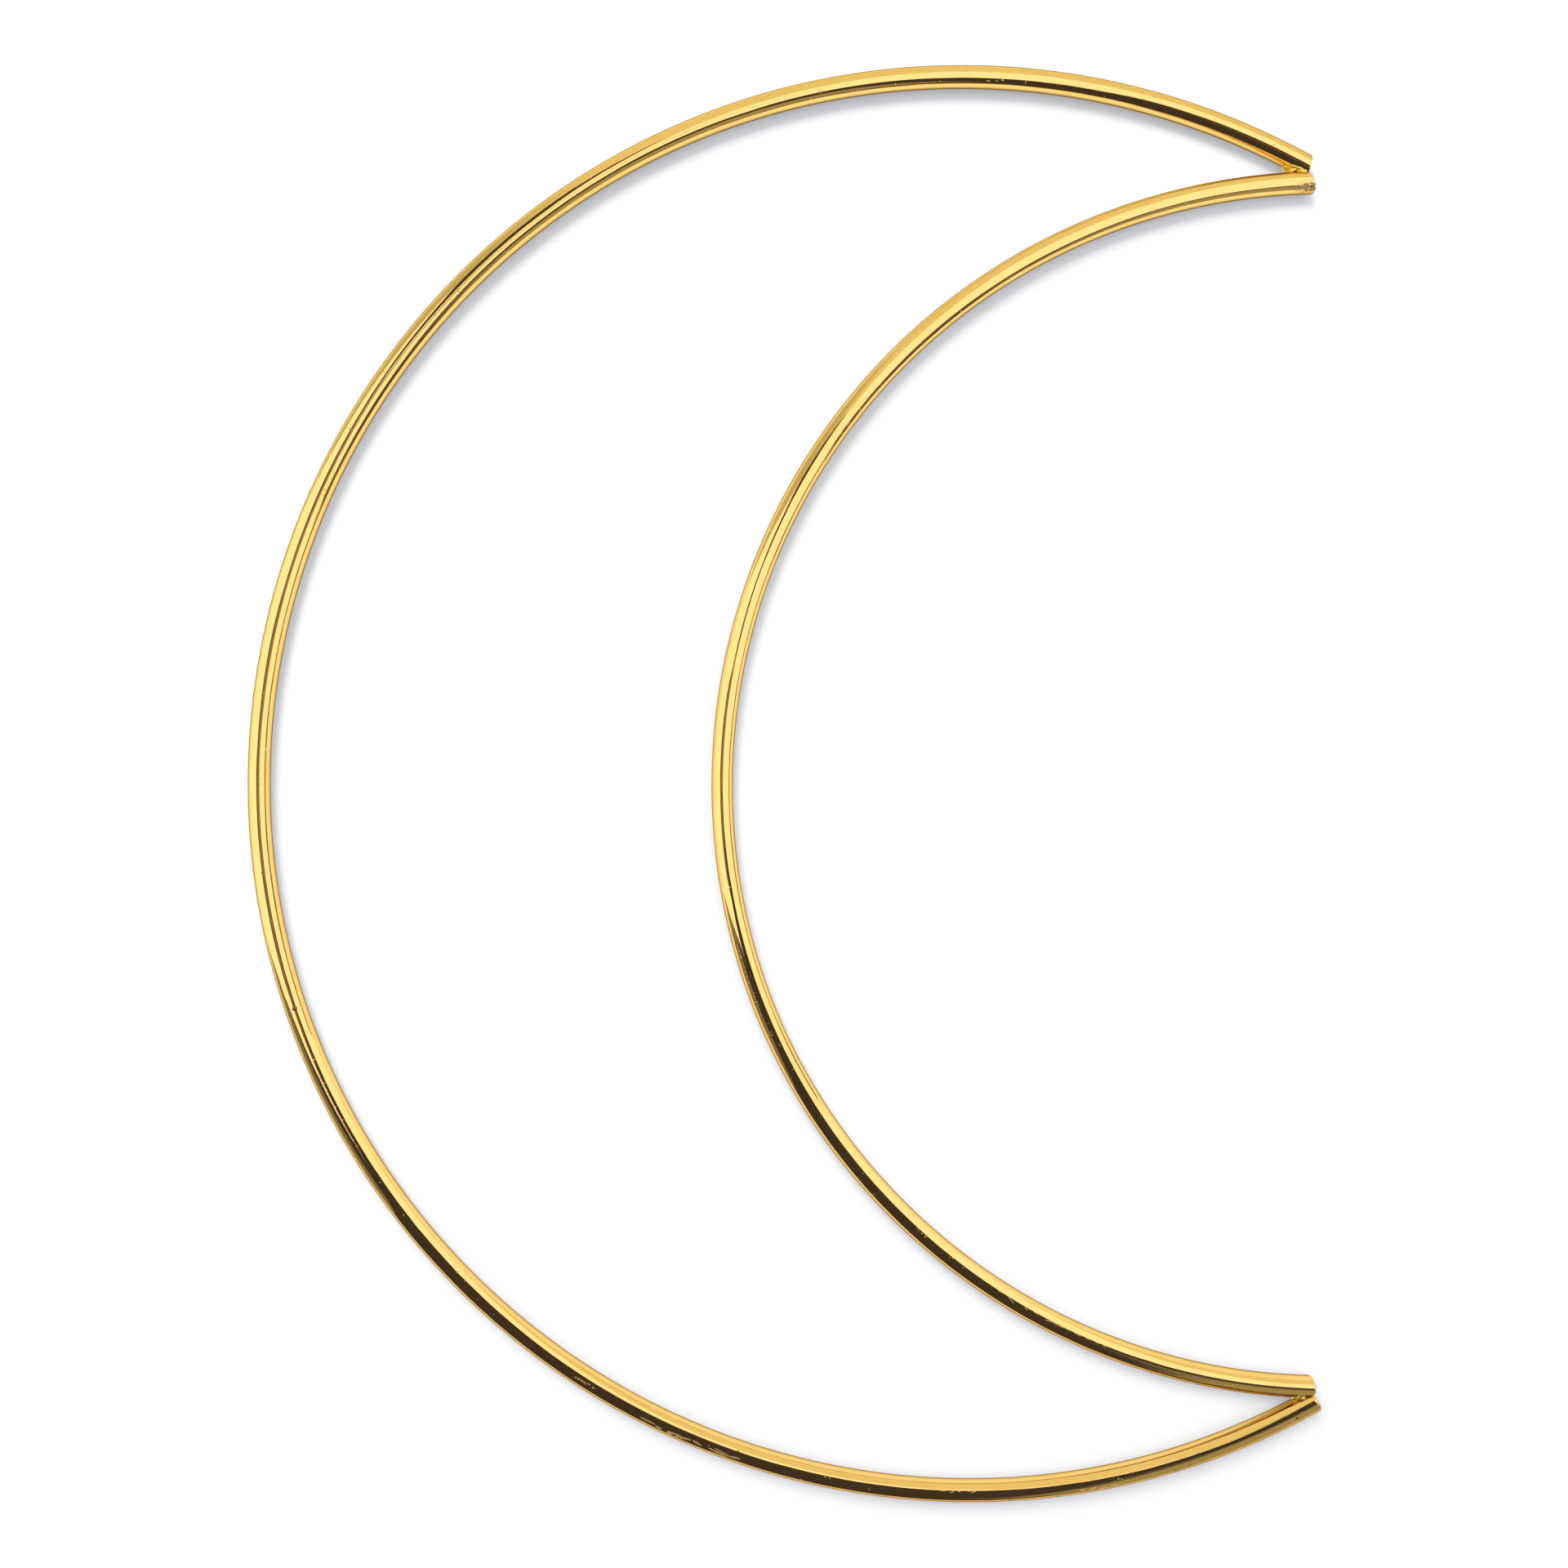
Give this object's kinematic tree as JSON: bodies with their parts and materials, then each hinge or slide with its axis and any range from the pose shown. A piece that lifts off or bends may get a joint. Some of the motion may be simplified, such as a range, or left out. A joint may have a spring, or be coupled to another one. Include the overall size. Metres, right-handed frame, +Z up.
{
  "type": "wreath frame",
  "caption": "Flat crescent wreath frame of bent round wire, an outer and an inner arc welded at both tips, for binding flowers and foliage on.",
  "frame": {"origin": "under the middle of the frame's overall box, on the surface that it lies on", "axes": "+X towards the two tips, +Y along the frame's height, +Z up from the surface"},
  "size_m": [0.1494, 0.2, 0.003],
  "materials": {
    "gold_plated_wire": "bright gold plating on drawn steel wire, mirror-like, with fine draw lines and small pits",
    "gold_plated_weld": "the same gold plating over a small rough weld bead"
  },
  "bodies": {
    "root": {"outer_arc_wire": "gold_plated_wire", "inner_arc_wire": "gold_plated_wire", "upper_tip_weld": "gold_plated_weld", "lower_tip_weld": "gold_plated_weld"}
  },
  "joints": []
}
